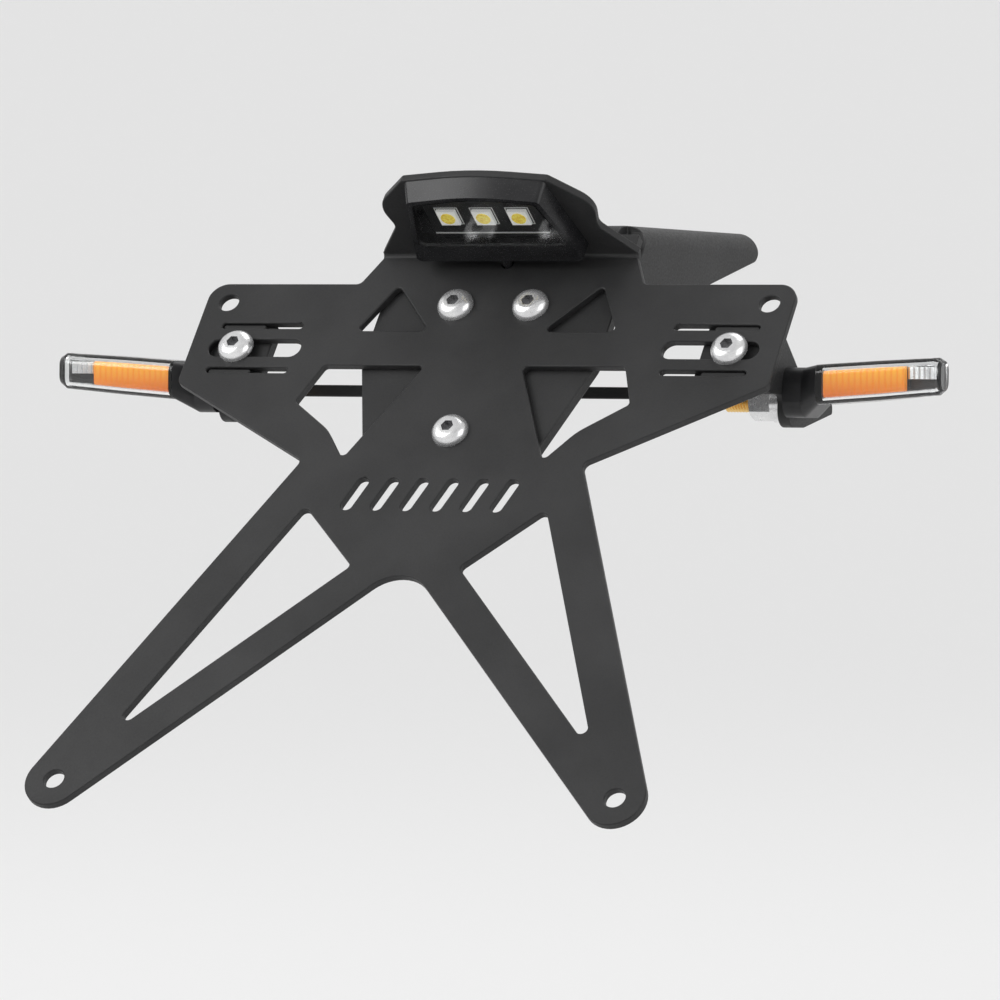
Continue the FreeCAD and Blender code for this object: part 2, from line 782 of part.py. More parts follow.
def right_indicator():
    base_y, base_z = zero_y + base_forward, zero_z - base_drop
    shoulder_x = ear_outer + base_length
    base = prism_x([
        (base_y - base_depth / 2, base_z - base_height / 2, base_round),
        (base_y + base_depth / 2, base_z - base_height / 2, base_round),
        (base_y + base_depth / 2, base_z + base_height / 2, base_round),
        (base_y - base_depth / 2, base_z + base_height / 2, base_round),
    ], ear_outer, shoulder_x)
    shoulder = Part.makeLoft([
        section(shoulder_x, base_y, base_z, base_depth, base_height, base_round),
        section(lamp_x, lamp_y, lamp_z, lamp_depth, lamp_height, lamp_round),
    ], True, True)
    lamp = lamp_form(0)
    rearward = behind_split(lamp_x, lamp_x + far, 0)
    stud_end = ear_outer + stud_root
    housing = fuse([base, shoulder, lamp.cut(rearward)])
    housing = housing.cut(stud_tube(stud_d, ear_outer, stud_end))
    inside_x = lamp_x + cover_wall
    hollow = lamp_form(cover_wall).common(behind_split(inside_x, inside_x + far, 0))
    cover = lamp.common(rearward).cut(hollow)
    led_face = lamp_split - led_strip_thick - led_height
    amber_x = inside_x + amber_clear
    amber_room = behind_split(amber_x, amber_x + amber_length, led_strip_thick + led_height + led_gap)
    amber = lamp_form(cover_wall + amber_clear).common(amber_room)
    strip_x = lamp_x + led_strip_inset
    strip_end = amber_x + amber_length
    strip_half = led_strip_height / 2
    board = along_split(box(strip_x, strip_end, lamp_split - led_strip_thick, lamp_split,
                            lamp_z - strip_half, lamp_z + strip_half))
    leds = []
    for i in range(led_count):
        middle = strip_x + (i + 0.5) * (strip_end - strip_x) / led_count
        half = led_side / 2
        leds.append(along_split(box(middle - half, middle + half, led_face, lamp_split - led_strip_thick,
                                    lamp_z - half, lamp_z + half)))
    stud_start = ear_inner - stud_reach
    stud = stud_tube(stud_d, stud_start, stud_end).cut(stud_tube(stud_bore, stud_start, stud_end))
    rim = [edge for edge in stud.Edges if abs(edge.BoundBox.XMax - stud_start) < 1e-6
           and abs(edge.BoundBox.YLength - stud_d) < 1e-6]
    stud = stud.makeChamfer(stud_chamfer, rim)
    ring = washer(stud_washer_d, stud_washer_h, stud_d + washer_clear)
    nut = hex_nut(stud_nut_flats, stud_nut_h, stud_d + thread_clear)
    for piece, x in ((ring, ear_inner - stud_washer_h), (nut, ear_inner - stud_washer_h - stud_nut_h)):
        piece.rotate(vec(0, 0), vec(0, 1), 90)
        piece.translate(vec(x, stud_y, stud_z))
    return {
        "indicator_housing": housing,
        "indicator_clear_cover": cover,
        "indicator_amber_lens": amber,
        "indicator_board": board,
        "indicator_leds": Part.makeCompound(leds),
        "indicator_stud": stud,
        "indicator_washer": ring,
        "indicator_nut": nut,
    }


def all_nodes():
    nodes = {
        "plate_holder": plate_holder(),
        "mounting_bracket": mounting_bracket(),
        "indicator_carrier": indicator_carrier(),
    }
    nodes.update(joint_hardware("centre", centre_places, bracket_back))
    nodes.update(joint_hardware("wing", wing_places, tab_back))
    nodes.update(plate_light())
    for name, shape in right_indicator().items():
        nodes["right_" + name] = shape
        nodes["left_" + name] = mirror(shape)
    return nodes


os.makedirs("parts", exist_ok=True)
for name, shape in all_nodes().items():
    shape.exportStep("parts/" + name + ".step")
    size = shape.BoundBox
    print(f"{name}: {len(shape.Solids)} solid, valid {shape.isValid()}, {shape.Volume:.0f} mm3, "
          f"X {size.XMin:.1f} {size.XMax:.1f} Y {size.YMin:.1f} {size.YMax:.1f} Z {size.ZMin:.1f} {size.ZMax:.1f}")
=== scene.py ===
import bpy
import json
import math
from mathutils import Matrix, Vector


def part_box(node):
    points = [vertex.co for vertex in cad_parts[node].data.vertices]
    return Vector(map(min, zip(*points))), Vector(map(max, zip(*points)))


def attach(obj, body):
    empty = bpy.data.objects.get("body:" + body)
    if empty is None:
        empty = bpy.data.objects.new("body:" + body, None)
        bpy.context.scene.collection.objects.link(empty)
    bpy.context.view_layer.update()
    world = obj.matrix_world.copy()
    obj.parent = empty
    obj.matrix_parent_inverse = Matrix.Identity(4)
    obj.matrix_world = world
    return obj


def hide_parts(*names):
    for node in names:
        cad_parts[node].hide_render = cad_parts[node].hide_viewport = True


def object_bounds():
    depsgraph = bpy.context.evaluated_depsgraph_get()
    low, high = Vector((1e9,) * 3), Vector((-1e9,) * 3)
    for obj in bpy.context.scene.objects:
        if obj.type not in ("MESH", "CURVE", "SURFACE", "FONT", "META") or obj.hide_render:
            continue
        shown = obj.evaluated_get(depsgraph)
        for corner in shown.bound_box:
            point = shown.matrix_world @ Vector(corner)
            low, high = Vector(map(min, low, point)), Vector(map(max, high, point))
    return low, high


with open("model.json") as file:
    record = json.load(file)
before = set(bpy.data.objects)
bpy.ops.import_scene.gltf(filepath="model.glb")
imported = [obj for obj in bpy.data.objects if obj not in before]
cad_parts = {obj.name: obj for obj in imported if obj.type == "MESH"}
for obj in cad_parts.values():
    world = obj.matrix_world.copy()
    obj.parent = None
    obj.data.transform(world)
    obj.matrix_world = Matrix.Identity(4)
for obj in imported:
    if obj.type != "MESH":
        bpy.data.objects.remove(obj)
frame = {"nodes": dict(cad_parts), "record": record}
cadBox = [list(corner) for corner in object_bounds()]
nodes = frame["nodes"]
plateMount = next(m for m in frame["record"]["mounts"] if m["name"] == "number_plate_holes")
mm = 0.001
closeBy = 0.001 * mm  # points nearer than this are one
print("frame loaded,", len(nodes), "pieces")


# small modelling helpers
def startFresh():
    if bpy.context.object and bpy.context.object.mode != "OBJECT":
        bpy.ops.object.mode_set(mode="OBJECT")
    bpy.ops.object.select_all(action="DESELECT")


def pickOnly(piece):
    startFresh()
    piece.select_set(True)
    bpy.context.view_layer.objects.active = piece


def editMode(piece):
    pickOnly(piece)
    bpy.ops.object.mode_set(mode="EDIT")


def objectMode():
    bpy.ops.object.mode_set(mode="OBJECT")


def applyAll(piece):
    pickOnly(piece)
    for modifier in list(piece.modifiers):
        bpy.ops.object.modifier_apply(modifier=modifier.name)


def pickPoints(piece, test):
    editMode(piece)
    bpy.ops.mesh.select_mode(type="VERT")
    bpy.ops.mesh.select_all(action="DESELECT")
    objectMode()
    for vertex in piece.data.vertices:
        vertex.select = test(vertex.co)
    bpy.ops.object.mode_set(mode="EDIT")


# materials
def startMaterial(name, sockets):
    material = bpy.data.materials.new(name)
    material.use_nodes = True
    shader = material.node_tree.nodes["Principled BSDF"]
    for socket, value in sockets.items():
        shader.inputs[socket].default_value = value
    return material, material.node_tree, shader


def objectPoint(tree, location=(0, 0, 0), rotation=(0, 0, 0)):
    coords = tree.nodes.new("ShaderNodeTexCoord")
    mapping = tree.nodes.new("ShaderNodeMapping")
    mapping.inputs["Location"].default_value = location
    mapping.inputs["Rotation"].default_value = rotation
    tree.links.new(coords.outputs["Object"], mapping.inputs["Vector"])
    return mapping.outputs["Vector"]


def platePoint(tree):
    # the plate holder's own frame, zero at its middle: x to the right, y up, z out of its rear face
    normal = Vector(plateMount["axis"])
    turn = math.acos(normal.z)
    middle = Matrix.Rotation(-turn, 3, "X") @ Vector(plateMount["pos_m"])
    return objectPoint(tree, location=-middle, rotation=(-turn, 0, 0))


def calc(tree, operation, *values):
    node = tree.nodes.new("ShaderNodeMath")
    node.operation = operation
    for i, value in enumerate(values):
        if isinstance(value, (int, float)):
            node.inputs[i].default_value = value
        else:
            tree.links.new(value, node.inputs[i])
    return node.outputs[0]


def within(tree, value, low, high):
    above = calc(tree, "GREATER_THAN", value, low)
    return calc(tree, "MULTIPLY", above, calc(tree, "LESS_THAN", value, high))


def distance(tree, across, along):
    acrossSquared = calc(tree, "MULTIPLY", across, across)
    alongSquared = calc(tree, "MULTIPLY", along, along)
    return calc(tree, "SQRT", calc(tree, "ADD", acrossSquared, alongSquared))


def splitPoint(tree, point):
    parts = tree.nodes.new("ShaderNodeSeparateXYZ")
    tree.links.new(point, parts.inputs[0])
    return parts.outputs


def mixTones(tree, share, under, over):
    mix = tree.nodes.new("ShaderNodeMix")
    mix.data_type = "RGBA"
    tree.links.new(share, mix.inputs["Factor"])
    for socket, tone in ((mix.inputs[6], under), (mix.inputs[7], over)):
        if isinstance(tone, tuple):
            socket.default_value = (*tone, 1)
        else:
            tree.links.new(tone, socket)
    return mix.outputs[2]


def grain(tree, point, size, detail=2.0):
    noise = tree.nodes.new("ShaderNodeTexNoise")
    noise.inputs["Scale"].default_value = 1 / size  # size of one grain, in metres
    noise.inputs["Detail"].default_value = detail
    tree.links.new(point, noise.inputs["Vector"])
    return noise.outputs["Fac"]


def spread(tree, value, low, high, fromLow=0.3, fromHigh=0.7):
    ranged = tree.nodes.new("ShaderNodeMapRange")
    limits = {"From Min": fromLow, "From Max": fromHigh, "To Min": low, "To Max": high}
    for socket, number in limits.items():
        ranged.inputs[socket].default_value = number
    tree.links.new(value, ranged.inputs["Value"])
    return ranged.outputs["Result"]


def twoTone(tree, value, dark, light, fromLow=0.35, fromHigh=0.65):
    ramp = tree.nodes.new("ShaderNodeValToRGB")
    ramp.color_ramp.elements[0].position = fromLow
    ramp.color_ramp.elements[0].color = (*dark, 1)
    ramp.color_ramp.elements[1].position = fromHigh
    ramp.color_ramp.elements[1].color = (*light, 1)
    tree.links.new(value, ramp.inputs["Fac"])
    return ramp.outputs["Color"]


def setTone(tree, shader, tone):
    tree.links.new(tone, shader.inputs["Base Color"])


def setRoughness(tree, shader, value, low, high):
    tree.links.new(spread(tree, value, low, high), shader.inputs["Roughness"])


def bumped(tree, shader, height, strength, depth):
    bump = tree.nodes.new("ShaderNodeBump")
    bump.inputs["Strength"].default_value = strength
    bump.inputs["Distance"].default_value = depth
    tree.links.new(height, bump.inputs["Height"])
    tree.links.new(bump.outputs["Normal"], shader.inputs["Normal"])


powderCoat = {
    "dark": (0.016, 0.016, 0.0165),
    "light": (0.025, 0.025, 0.0255),
    "specular": 0.32,
    "cloud": 22 * mm,  # size of the soft colour clouds
    "grain": 0.55 * mm,
    "grainStrength": 0.42,
    "grainDepth": 0.05 * mm,
    "roughLow": 0.40,
    "roughHigh": 0.56,
}


def powderCoatMaterial():
    sockets = {"Specular IOR Level": powderCoat["specular"]}
    material, tree, shader = startMaterial("black powder coat", sockets)
    point = objectPoint(tree)
    clouds = grain(tree, point, powderCoat["cloud"], detail=4.0)
    fine = grain(tree, point, powderCoat["grain"])
    setTone(tree, shader, twoTone(tree, clouds, powderCoat["dark"], powderCoat["light"]))
    setRoughness(tree, shader, fine, powderCoat["roughLow"], powderCoat["roughHigh"])
    bumped(tree, shader, fine, powderCoat["grainStrength"], powderCoat["grainDepth"])
    return material


zincPlate = {
    "dark": (0.68, 0.68, 0.69),
    "light": (0.83, 0.83, 0.83),
    "metallic": 0.76,
    "cloud": 5 * mm,
    "scratch": 1.2 * mm,
    "roughLow": 0.22,
    "roughHigh": 0.28,
}


# sheet joint screws, placed from the middle of the number plate holes
screwDetail = {
    "centre_screws": [(-10.4 * mm, 73.9 * mm), (10.4 * mm, 73.9 * mm), (0.0, 33.7 * mm)],
    "wing_screws": [(-68.2 * mm, 60.2 * mm), (68.2 * mm, 60.2 * mm)],
    "socket": 1.74 * mm,
    "socketLow": 0.9 * mm,
    "socketHigh": 2.7 * mm,
    # painted shade: the darker tone inside the hex sockets
    "socketShadeTone": (0.26, 0.26, 0.265),
    "radius": 2.5 * mm,
    "cut": -10.4 * mm,  # inside the nut, behind the plate holder's rear face
    "tail": 2.9 * mm,  # threaded end from there
}


def zincMaterial(name, places=()):
    # the places are those of screws whose hex sockets get painted shade, a darker tone inside each
    # socket
    material, tree, shader = startMaterial(name, {"Metallic": zincPlate["metallic"]})
    point = objectPoint(tree)
    clouds = grain(tree, point, zincPlate["cloud"], detail=3.0)
    fine = grain(tree, point, zincPlate["scratch"])
    tone = twoTone(tree, clouds, zincPlate["dark"], zincPlate["light"])
    # painted shade: darken the tone inside each listed screw's hex socket
    if places:
        x, v, n = splitPoint(tree, platePoint(tree))
        nearest = None
        for placeX, placeV in places:
            offX, offV = calc(tree, "SUBTRACT", x, placeX), calc(tree, "SUBTRACT", v, placeV)
            away = distance(tree, offX, offV)
            nearest = away if nearest is None else calc(tree, "MINIMUM", nearest, away)
        across = calc(tree, "LESS_THAN", nearest, screwDetail["socket"])
        along = within(tree, n, screwDetail["socketLow"], screwDetail["socketHigh"])
        socketShadeMask = calc(tree, "MULTIPLY", across, along)
        tone = mixTones(tree, socketShadeMask, tone, screwDetail["socketShadeTone"])
    setTone(tree, shader, tone)
    setRoughness(tree, shader, fine, zincPlate["roughLow"], zincPlate["roughHigh"])
    return material


brassTurned = {
    "dark": (0.74, 0.48, 0.17),
    "light": (0.86, 0.61, 0.25),
    "cloud": 5 * mm,
    "roughLow": 0.24,
    "roughHigh": 0.32,
}


def brassMaterial():
    material, tree, shader = startMaterial("turned brass", {"Metallic": 1.0})
    clouds = grain(tree, objectPoint(tree), brassTurned["cloud"], detail=3.0)
    setTone(tree, shader, twoTone(tree, clouds, brassTurned["dark"], brassTurned["light"]))
    setRoughness(tree, shader, clouds, brassTurned["roughLow"], brassTurned["roughHigh"])
    return material


blackPlastic = {
    "dark": (0.010, 0.010, 0.011),
    "light": (0.017, 0.017, 0.018),
    "specular": 0.36,
    "cloud": 6 * mm,
    "grain": 0.35 * mm,
    "grainDepth": 0.02 * mm,
    "lightHousing": {"roughLow": 0.24, "roughHigh": 0.28, "grainStrength": 0.03},
    "indicatorHousing": {"roughLow": 0.32, "roughHigh": 0.42, "grainStrength": 0.12},
}


def blackPlasticMaterial(name, roughLow, roughHigh, grainStrength):
    material, tree, shader = startMaterial(name, {"Specular IOR Level": blackPlastic["specular"]})
    point = objectPoint(tree)
    clouds = grain(tree, point, blackPlastic["cloud"], detail=3.0)
    fine = grain(tree, point, blackPlastic["grain"])
    setTone(tree, shader, twoTone(tree, clouds, blackPlastic["dark"], blackPlastic["light"]))
    setRoughness(tree, shader, fine, roughLow, roughHigh)
    bumped(tree, shader, fine, grainStrength, blackPlastic["grainDepth"])
    return material


clearPlastic = {
    "tint": (0.96, 0.97, 0.97, 1),
    "ior": 1.45,
    "roughLow": 0.01,
    "roughHigh": 0.05,
    "smear": 4 * mm,
}


def clearMaterial(name):
    material, tree, shader = startMaterial(name, {
        "Base Color": clearPlastic["tint"],
        "Transmission Weight": 1.0,
        "IOR": clearPlastic["ior"],
    })
    smear = grain(tree, objectPoint(tree), clearPlastic["smear"])
    setRoughness(tree, shader, smear, clearPlastic["roughLow"], clearPlastic["roughHigh"])
    return material


# amber inserts: upright flutes, with painted highlight and painted shade: paler towards the upper
# edge, darker towards the lower edge
amberPlastic = {
    # painted shade at the lower edge, painted highlight at the upper edge
    "low": (0.64, 0.11, 0.0),
    "high": (1.0, 0.46, 0.03),
    "groove": (0.78, 0.17, 0.0),
    "grooveShare": 0.45,
    "grooveWide": 0.5,  # part of the flute's height that is toned as groove
    "flute": 1.6 * mm,
    "fluteStrength": 0.3,
    "fluteDepth": 0.15 * mm,
    "roughness": 0.25,
    "specular": 0.3,
    "glow": 0.42,
}
waveLength = 2 * math.pi / 20  # of the wave texture at a scale of 1


def amberMaterial():
    material, tree, shader = startMaterial("amber plastic", {
        "Roughness": amberPlastic["roughness"],
        "Specular IOR Level": amberPlastic["specular"],
        "Emission Strength": amberPlastic["glow"],
    })
    point = objectPoint(tree)
    lowest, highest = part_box("right_indicator_amber_lens")
    height = spread(tree, splitPoint(tree, point)[2], 0, 1, lowest[2], highest[2])
    flutes = tree.nodes.new("ShaderNodeTexWave")
    flutes.bands_direction = "X"
    flutes.wave_profile = "SIN"
    flutes.inputs["Scale"].default_value = waveLength / amberPlastic["flute"]
    tree.links.new(point, flutes.inputs["Vector"])
    # painted highlight and painted shade: the tone runs from darker at the lower edge to paler at
    # the upper edge, and also feeds the glow
    tone = mixTones(tree, height, amberPlastic["low"], amberPlastic["high"])
    wave = flutes.outputs["Fac"]
    grooves = spread(tree, wave, amberPlastic["grooveShare"], 0, 0, amberPlastic["grooveWide"])
    tone = mixTones(tree, grooves, tone, amberPlastic["groove"])
    setTone(tree, shader, tone)
    tree.links.new(tone, shader.inputs["Emission Color"])
    bumped(tree, shader, wave, amberPlastic["fluteStrength"], amberPlastic["fluteDepth"])
    return material


# plate light board: black mask with a white printed line, and a printed frame round each light chip
lightBoard = {
    "dark": (0.008, 0.008, 0.009),
    "light": (0.018, 0.018, 0.019),
    "cloud": 1.5 * mm,
    "roughness": 0.32,
    "print": (0.80, 0.80, 0.78),
    "lineReach": 12.0 * mm,  # from the plate holder's rear face
    "lineHalf": 0.28 * mm,
    "frameGap": 0.35 * mm,
    "frameWide": 0.3 * mm,
}
chipRow = {"pitch": 9.8 * mm, "reach": 18.6 * mm, "eye": 1.9 * mm, "side": 2.6 * mm}


def chipPoint(tree):
    # place about the middle of the nearest light chip, across the row and along the sheet's normal
    x, _, n = splitPoint(tree, platePoint(tree))
    pitch = chipRow["pitch"]
    number = calc(tree, "ROUND", calc(tree, "DIVIDE", x, pitch))
    nearest = calc(tree, "MULTIPLY", number, pitch)
    return calc(tree, "SUBTRACT", x, nearest), calc(tree, "SUBTRACT", n, chipRow["reach"]), n


def boardMaterial(name, printed):
    material, tree, shader = startMaterial(name, {"Roughness": lightBoard["roughness"]})
    clouds = grain(tree, objectPoint(tree), lightBoard["cloud"], detail=3.0)
    mask = twoTone(tree, clouds, lightBoard["dark"], lightBoard["light"])
    if printed:
        across, along, n = chipPoint(tree)
        across, along = calc(tree, "ABSOLUTE", across), calc(tree, "ABSOLUTE", along)
        square = calc(tree, "MAXIMUM", across, along)
        inner = chipRow["side"] + lightBoard["frameGap"]
        outline = within(tree, square, inner, inner + lightBoard["frameWide"])
        lineReach, lineHalf = lightBoard["lineReach"], lightBoard["lineHalf"]
        line = within(tree, n, lineReach - lineHalf, lineReach + lineHalf)
        mask = mixTones(tree, calc(tree, "MAXIMUM", outline, line), mask, lightBoard["print"])
    setTone(tree, shader, mask)
    return material


lightChip = {
    "white": (0.86, 0.86, 0.84),
    "phosphorDark": (0.80, 0.56, 0.05),
    "phosphorLight": (0.95, 0.80, 0.16),
    "cloud": 0.7 * mm,
    "roughness": 0.3,
    "glow": 0.32,
}


def chipMaterial(name, eyed):
    sockets = {"Roughness": lightChip["roughness"], "Emission Strength": lightChip["glow"]}
    material, tree, shader = startMaterial(name, sockets)
    clouds = grain(tree, objectPoint(tree), lightChip["cloud"])
    tone = twoTone(tree, clouds, lightChip["phosphorDark"], lightChip["phosphorLight"])
    if eyed:
        across, along, _ = chipPoint(tree)
        outside = calc(tree, "GREATER_THAN", distance(tree, across, along), chipRow["eye"])
        tone = mixTones(tree, outside, tone, lightChip["white"])
    setTone(tree, shader, tone)
    tree.links.new(tone, shader.inputs["Emission Color"])
    return material


finishes = {
    "black_powder_coat": powderCoatMaterial(),
    "zinc_steel": zincMaterial("bright zinc steel"),
    "brass": brassMaterial(),
    "light_plastic": blackPlasticMaterial("light housing plastic", **blackPlastic["lightHousing"]),
    "indicator_plastic": blackPlasticMaterial("indicator housing plastic",
                                              **blackPlastic["indicatorHousing"]),
    "light_clear": clearMaterial("clear light window"),
    "indicator_clear": clearMaterial("clear indicator cover"),
    "amber": amberMaterial(),
    "circuit_board": boardMaterial("circuit board mask", False),
    "led": chipMaterial("light chip", False),
}
ownFinishes = {
    "centre_screws": zincMaterial("centre screw zinc", screwDetail["centre_screws"]),
    "wing_screws": zincMaterial("wing screw zinc", screwDetail["wing_screws"]),
    "light_board": boardMaterial("printed circuit board mask", True),
    "light_leds": chipMaterial("light chip with eye", True),
}


for subpart in frame["record"]["subparts"]:
    piece = nodes[subpart["node"]]
    piece.data.materials.clear()
    shared = finishes[subpart["material_slot"]]
    piece.data.materials.append(ownFinishes.get(subpart["node"], shared))
print("finishes on every piece")


# coated sheets: the edges of the laser-cut sheets are rounded over by the coat
coatEdge = {
    "radius": 0.28 * mm,
    "segments": 2,
    "sharpAngle": math.radians(40),
    "flatAngle": math.radians(0.4),
}


def coatedSheet(node):
    source = nodes[node]
    sheet = bpy.data.objects.new(node + "_coated", source.data.copy())
    bpy.context.scene.collection.objects.link(sheet)
    editMode(sheet)
    bpy.ops.mesh.customdata_custom_splitnormals_clear()
    bpy.ops.mesh.select_all(action="SELECT")
    bpy.ops.mesh.remove_doubles(threshold=closeBy)
    bpy.ops.mesh.dissolve_limited(angle_limit=coatEdge["flatAngle"])
    objectMode()
    bevel = sheet.modifiers.new("coat edge", "BEVEL")
    bevel.width = coatEdge["radius"]
    bevel.segments = coatEdge["segments"]
    bevel.limit_method = "ANGLE"
    bevel.angle_limit = coatEdge["sharpAngle"]
    bevel.use_clamp_overlap = False
    bevel.miter_outer = "MITER_ARC"
    bpy.ops.object.shade_smooth_by_angle(angle=coatEdge["sharpAngle"])
    triangles = sheet.modifiers.new("even triangles", "TRIANGULATE")
    triangles.ngon_method = "BEAUTY"
    weighted = sheet.modifiers.new("flat faces stay flat", "WEIGHTED_NORMAL")
    weighted.keep_sharp = True
    applyAll(sheet)
    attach(sheet, "root")
    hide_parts(node)
    print(node, "edges rounded,", len(sheet.data.polygons), "faces")


for node in ("plate_holder", "mounting_bracket", "indicator_carrier"):
    coatedSheet(node)


# threads of the sheet joint screws and the indicator studs
thread = {
    "pitch": 0.8 * mm,
    "depth": 0.42 * mm,
    "flanks": ((1, 0.42), (0, 0.12), (-1, 0.42), (0, 0.04)),  # across in depths, along in pitches
    "steps": 32,
    "spareTurns": 2,  # cut off at either end
    "lead": 0.35 * mm,  # tapered end
    "leadShare": 0.86,
    "bore": 1.3 * mm,  # of the hollow studs
    "boreSteps": 40,
    "close": 0.002 * mm,  # points nearer than this are one
    "sharp": 0.0001 * mm,  # how near to its plane a cut runs
    "sharpAngle": math.radians(35),
}


def cutMesh(place, normal, **kept):
    bpy.ops.mesh.select_all(action="SELECT")
    bpy.ops.mesh.bisect(plane_co=place, plane_no=normal, threshold=thread["sharp"], **kept)


def threadedRod(name, radius, length, bore=None):
    # stands on Z from zero to its length
    pitch, depth = thread["pitch"], thread["depth"]
    straight = length - thread["lead"]
    startFresh()
    bpy.ops.mesh.primitive_plane_add(size=mm)
    rod = bpy.context.object
    rod.name = name
    editMode(rod)
    bpy.ops.mesh.select_all(action="SELECT")
    bpy.ops.mesh.merge(type="CENTER")
    bpy.ops.transform.translate(value=(radius - depth, 0, -thread["spareTurns"] * pitch))
    for across, along in thread["flanks"]:
        flank = (across * depth, 0, along * pitch)
        bpy.ops.mesh.extrude_vertices_move(TRANSFORM_OT_translate={"value": flank})
    objectMode()
    turns = rod.modifiers.new("thread", "SCREW")
    turns.axis = "Z"
    turns.screw_offset = pitch
    turns.iterations = math.ceil(length / pitch) + 2 * thread["spareTurns"]
    turns.steps = thread["steps"]
    turns.render_steps = thread["steps"]
    applyAll(rod)
    editMode(rod)
    bpy.ops.mesh.select_all(action="SELECT")
    bpy.ops.mesh.remove_doubles(threshold=thread["close"])
    cutMesh((0, 0, 0), (0, 0, 1), clear_inner=True)
    cutMesh((0, 0, straight), (0, 0, 1), clear_outer=True)
    pickPoints(rod, lambda co: abs(co.z - straight) < thread["close"])
    bpy.ops.mesh.extrude_edges_move(TRANSFORM_OT_translate={"value": (0, 0, thread["lead"])})
    taper = (thread["leadShare"], thread["leadShare"], 1)
    bpy.ops.transform.resize(value=taper, center_override=(0, 0, length))
    if bore:
        bpy.ops.mesh.primitive_cylinder_add(
            vertices=thread["boreSteps"], radius=bore, depth=length,
            end_fill_type="NOTHING", location=(0, 0, length / 2))
    for end in (0, length):
        pickPoints(rod, lambda co: abs(co.z - end) < thread["close"])
        if bore:
            bpy.ops.mesh.bridge_edge_loops()
        else:
            bpy.ops.mesh.edge_face_add()
    bpy.ops.mesh.select_all(action="SELECT")
    bpy.ops.mesh.normals_make_consistent(inside=False)
    objectMode()
    return rod


def putDown(rod, foot, direction):
    turn = direction.to_track_quat("Z", "Y").to_matrix().to_4x4()
    rod.matrix_world = Matrix.Translation(foot) @ turn
    pickOnly(rod)
    bpy.ops.object.transform_apply(location=True, rotation=True, scale=True)
    bpy.ops.object.shade_smooth_by_angle(angle=thread["sharpAngle"])


def threadedStud(node, inner):
    # hollow brass stud, whose tapered end points inwards
    low, high = [Vector(corner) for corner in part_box(node)]
    stud = threadedRod(node + "_threaded", (high.z - low.z) / 2, high.x - low.x, thread["bore"])
    foot = (low + high) / 2
    foot.x = low.x if inner > 0 else high.x
    putDown(stud, foot, Vector((inner, 0, 0)))
    stud.data.materials.append(finishes["brass"])
    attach(stud, "root")
    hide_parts(node)
    print(node, "threaded,", len(stud.data.polygons), "faces")


def threadedScrews(node):
    # the screws with their plain ends cut off inside the nuts, and threaded ends in their place
    normal, middle = Vector(plateMount["axis"]), Vector(plateMount["pos_m"])
    acrossSheet = Vector((1, 0, 0))
    upSheet = normal.cross(acrossSheet)
    screws = bpy.data.objects.new(node + "_threaded", nodes[node].data.copy())
    bpy.context.scene.collection.objects.link(screws)
    editMode(screws)
    bpy.ops.mesh.customdata_custom_splitnormals_clear()
    bpy.ops.mesh.select_all(action="SELECT")
    bpy.ops.mesh.remove_doubles(threshold=closeBy)
    cut = middle + normal * screwDetail["cut"]
    cutMesh(cut, normal, use_fill=True, clear_inner=True)
    objectMode()
    bpy.ops.object.shade_smooth_by_angle(angle=thread["sharpAngle"])
    ends = []
    for placeX, placeV in screwDetail[node]:
        end = threadedRod("screw_end", screwDetail["radius"], screwDetail["tail"])
        putDown(end, cut + acrossSheet * placeX + upSheet * placeV, -normal)
        ends.append(end)
    pickOnly(screws)
    for end in ends:
        end.select_set(True)
    bpy.ops.object.join()
    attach(screws, "root")
    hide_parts(node)
    print(node, "threaded,", len(screws.data.polygons), "faces")


threadedStud("right_indicator_stud", -1)
threadedStud("left_indicator_stud", 1)
threadedScrews("centre_screws")
threadedScrews("wing_screws")


# silvered, ribbed insert in the upper half of each lamp's tip, put there to give the tip a bright
# painted highlight band, backed by the lamp's black shell
tipHighlightInsert = {
    "gap": 0.35 * mm,  # from the end of the amber insert
    "endWall": 2.6 * mm,  # from the end of the clear cover
    "drop": 0.1 * mm,  # below the top of the amber insert
    "height": 3.1 * mm,
    "setback": 1.0 * mm,  # ahead of the rear face of the amber insert
    "shellInner": 4.3 * mm,  # the shell's face at either end, ahead of the same face
    "shellOuter": 3.55 * mm,
    "ribs": 5,
    "ribDepth": 0.5 * mm,
    "edge": 0.08 * mm,
    "edgeSegments": 2,
}


